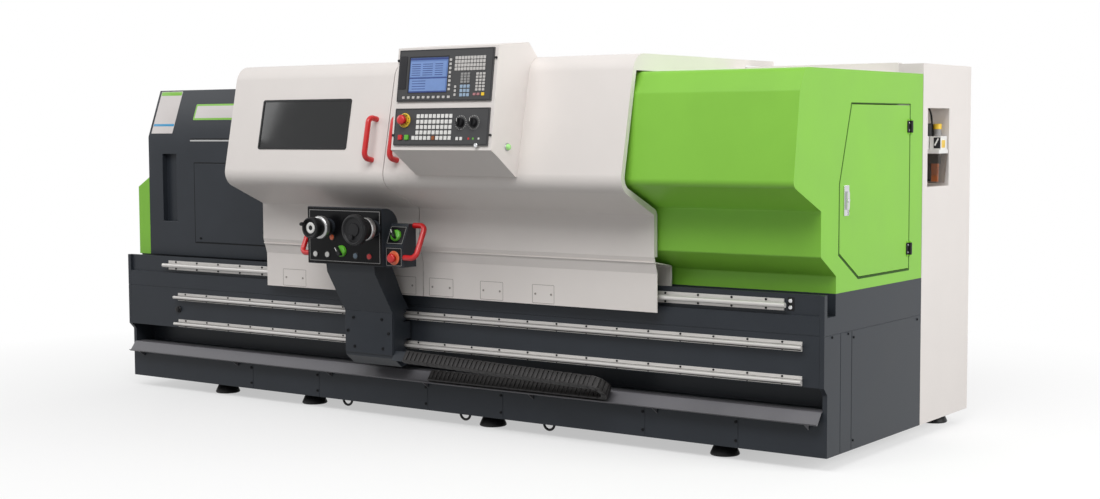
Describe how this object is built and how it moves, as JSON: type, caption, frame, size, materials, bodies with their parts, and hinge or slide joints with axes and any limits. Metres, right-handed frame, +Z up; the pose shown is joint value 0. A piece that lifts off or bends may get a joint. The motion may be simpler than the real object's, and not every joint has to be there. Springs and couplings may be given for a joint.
{
  "type": "cnc turning lathe",
  "caption": "Long flat-bed CNC lathe with enclosed headstock, sliding guard doors, a control pendant on the right door and a hand-slid control station on front rails.",
  "frame": {"origin": "on the floor, in the middle of the machine's outer box", "axes": "+X along the bed from the headstock to the tailstock, +Y from the operator's side to the rear, +Z up"},
  "size_m": [3.9142, 1.9176, 1.647],
  "materials": {
    "white_paint": "satin powder coat",
    "green_paint": "satin powder coat",
    "dark_paint": "textured powder coat",
    "bare_steel": "ground steel",
    "cast_iron": "painted casting",
    "chrome": "bright chrome",
    "black_plastic": "fine texture",
    "chain_plastic": "moulded",
    "red_plastic": "gloss",
    "green_plastic": "gloss",
    "white_plastic": "gloss",
    "blue_plastic": "gloss",
    "orange_plastic": "gloss",
    "window_glass": "dark safety glass",
    "clear_plastic": "clear tank with oil",
    "display_plate": "dark panel film"
  },
  "bodies": {
    "base": {"base_stand": "dark_paint", "front_beam": "dark_paint", "drip_lip": "dark_paint", "station_rails": "bare_steel", "door_rails": "bare_steel", "levelling_feet": "dark_paint", "lifting_eyes": "black_plastic", "bed": "cast_iron", "headstock_casting": "cast_iron", "headstock_cover": "dark_paint", "headstock_hatch": "dark_paint", "belt_cover": "green_paint", "rear_guard": "white_paint", "tailstock_cover": "green_paint", "electrical_cabinet": "white_paint", "cabinet_plate": "bare_steel", "lubricator": "white_plastic", "lubricator_tank": "clear_plastic", "chain_lower_run": "chain_plastic"},
    "access_door": {"access_door": "green_paint"},
    "access_latch": {"access_latch": "chrome"},
    "cabinet_door": {"cabinet_door": "white_paint"},
    "spindle": {"spindle": "bare_steel", "chuck_body": "bare_steel"},
    "jaw_1": {"chuck_jaw_1": "bare_steel"},
    "jaw_2": {"chuck_jaw_2": "bare_steel"},
    "jaw_3": {"chuck_jaw_3": "bare_steel"},
    "saddle": {"saddle": "cast_iron"},
    "cross_slide": {"cross_slide": "cast_iron"},
    "tool_post": {"tool_post": "bare_steel"},
    "tailstock": {"tailstock_body": "cast_iron"},
    "quill": {"tailstock_quill": "bare_steel"},
    "left_door": {"left_door": "white_paint", "window_pane": "window_glass", "left_door_handle": "red_plastic"},
    "right_door": {"right_door": "white_paint", "right_door_handle": "red_plastic", "pendant_box": "white_paint", "display_unit": "display_plate", "keypad_unit": "display_plate"},
    "station": {"station_arm": "dark_paint", "station_box": "dark_paint", "station_handles": "red_plastic", "chain_upper_run": "chain_plastic"},
    "chain_loop": {"chain_loop": "chain_plastic"},
    "pendant_estop": {"pendant_estop": "red_plastic"},
    "feed_knob": {"feed_knob": "black_plastic"},
    "spindle_knob": {"spindle_knob": "black_plastic"},
    "stop_key": {"stop_key": "red_plastic"},
    "start_key": {"start_key": "green_plastic"},
    "left_handwheel": {"left_handwheel": "black_plastic"},
    "right_handwheel": {"right_handwheel": "black_plastic"},
    "front_selector": {"front_selector": "green_plastic"},
    "wing_selector": {"wing_selector": "green_plastic"},
    "station_estop": {"station_estop": "red_plastic"},
    "orange_button": {"orange_button": "orange_plastic"},
    "white_button_1": {"white_button_1": "white_plastic"},
    "white_button_2": {"white_button_2": "white_plastic"},
    "blue_button": {"blue_button": "blue_plastic"},
    "red_button": {"red_button": "red_plastic"}
  },
  "joints": [
    {"name": "left_door_slide", "type": "slide", "parent": "base", "child": "left_door", "axis": [1, 0, 0], "range_m": [-0.7, 0]},
    {"name": "right_door_slide", "type": "slide", "parent": "base", "child": "right_door", "axis": [1, 0, 0], "range_m": [0, 0.55]},
    {"name": "station_slide", "type": "slide", "parent": "base", "child": "station", "axis": [1, 0, 0], "range_m": [-1.15, 1.6], "deforming": ["chain_upper_run", "chain_lower_run"]},
    {"name": "chain_loop_slide", "type": "slide", "parent": "base", "child": "chain_loop", "axis": [1, 0, 0], "range_m": [-0.575, 0.8]},
    {"name": "access_door_hinge", "type": "hinge", "parent": "base", "child": "access_door", "pos_m": [1.94985, 0.30479, 0.723], "axis": [0, 0, 1], "range_deg": [0, 110]},
    {"name": "access_latch_turn", "type": "hinge", "parent": "access_door", "child": "access_latch", "pos_m": [1.94685, -0.28521, 1.024], "axis": [1, 0, 0], "range_deg": [0, 90]},
    {"name": "cabinet_door_hinge", "type": "hinge", "parent": "base", "child": "cabinet_door", "pos_m": [0.93585, 0.93664, 0.055], "axis": [0, 0, 1], "range_deg": [0, 110]},
    {"name": "spindle_turn", "type": "hinge", "parent": "base", "child": "spindle", "pos_m": [-0.77715, -0.03121, 1.085], "axis": [1, 0, 0], "continuous": true},
    {"name": "jaw_1_slide", "type": "slide", "parent": "spindle", "child": "jaw_1", "axis": [0, 1, 0], "range_m": [-0.02, 0.006]},
    {"name": "jaw_2_slide", "type": "slide", "parent": "spindle", "child": "jaw_2", "axis": [0, -0.5, 0.866], "range_m": [-0.02, 0.006]},
    {"name": "jaw_3_slide", "type": "slide", "parent": "spindle", "child": "jaw_3", "axis": [0, -0.5, -0.866], "range_m": [-0.02, 0.006]},
    {"name": "saddle_slide", "type": "slide", "parent": "base", "child": "saddle", "axis": [1, 0, 0], "range_m": [-0.25, 0.45]},
    {"name": "cross_slide_slide", "type": "slide", "parent": "saddle", "child": "cross_slide", "axis": [0, 1, 0], "range_m": [-0.04, 0.12]},
    {"name": "tool_post_turn", "type": "hinge", "parent": "cross_slide", "child": "tool_post", "pos_m": [-0.15715, -0.22121, 1], "axis": [0, 0, 1], "range_deg": [0, 270]},
    {"name": "tailstock_slide", "type": "slide", "parent": "base", "child": "tailstock", "axis": [1, 0, 0], "range_m": [-0.2, 0.45]},
    {"name": "quill_slide", "type": "slide", "parent": "tailstock", "child": "quill", "axis": [1, 0, 0], "range_m": [-0.12, 0]},
    {"name": "pendant_estop_press", "type": "slide", "parent": "right_door", "child": "pendant_estop", "axis": [0, 0.9906, -0.137], "range_m": [0, 0.003], "stiffness_N_per_m": 400},
    {"name": "stop_key_press", "type": "slide", "parent": "right_door", "child": "stop_key", "axis": [0, 0.9906, -0.137], "range_m": [0, 0.003], "stiffness_N_per_m": 400},
    {"name": "start_key_press", "type": "slide", "parent": "right_door", "child": "start_key", "axis": [0, 0.9906, -0.137], "range_m": [0, 0.003], "stiffness_N_per_m": 400},
    {"name": "feed_knob_turn", "type": "hinge", "parent": "right_door", "child": "feed_knob", "pos_m": [0.65335, -0.9252, 1.32707], "axis": [0, -0.9906, 0.137], "range_deg": [-120, 120]},
    {"name": "spindle_knob_turn", "type": "hinge", "parent": "right_door", "child": "spindle_knob", "pos_m": [0.58835, -0.9252, 1.32707], "axis": [0, -0.9906, 0.137], "range_deg": [-120, 120]},
    {"name": "left_handwheel_turn", "type": "hinge", "parent": "station", "child": "left_handwheel", "pos_m": [-0.29715, -0.75421, 0.88], "axis": [0, -1, 0], "continuous": true},
    {"name": "right_handwheel_turn", "type": "hinge", "parent": "station", "child": "right_handwheel", "pos_m": [-0.03515, -0.75421, 0.88], "axis": [0, -1, 0], "continuous": true},
    {"name": "front_selector_turn", "type": "hinge", "parent": "station", "child": "front_selector", "pos_m": [-0.22415, -0.74021, 0.776], "axis": [0, -1, 0], "range_deg": [-45, 45]},
    {"name": "wing_selector_turn", "type": "hinge", "parent": "station", "child": "wing_selector", "pos_m": [0.05735, -0.70435, 0.84886], "axis": [0, -0.908, 0.4191], "range_deg": [-45, 45]},
    {"name": "station_estop_press", "type": "slide", "parent": "station", "child": "station_estop", "axis": [0, 1, 0], "range_m": [0, 0.003], "stiffness_N_per_m": 400},
    {"name": "orange_button_press", "type": "slide", "parent": "station", "child": "orange_button", "axis": [0, 1, 0], "range_m": [0, 0.003], "stiffness_N_per_m": 400},
    {"name": "white_button_1_press", "type": "slide", "parent": "station", "child": "white_button_1", "axis": [0, 1, 0], "range_m": [0, 0.003], "stiffness_N_per_m": 400},
    {"name": "white_button_2_press", "type": "slide", "parent": "station", "child": "white_button_2", "axis": [0, 1, 0], "range_m": [0, 0.003], "stiffness_N_per_m": 400},
    {"name": "blue_button_press", "type": "slide", "parent": "station", "child": "blue_button", "axis": [0, 1, 0], "range_m": [0, 0.003], "stiffness_N_per_m": 400},
    {"name": "red_button_press", "type": "slide", "parent": "station", "child": "red_button", "axis": [0, 1, 0], "range_m": [0, 0.003], "stiffness_N_per_m": 400}
  ],
  "couplings": [
    {"joint": "chain_loop_slide", "follows": "station_slide", "ratio": 0.5},
    {"joint": "jaw_2_slide", "follows": "jaw_1_slide", "ratio": 1},
    {"joint": "jaw_3_slide", "follows": "jaw_1_slide", "ratio": 1}
  ]
}
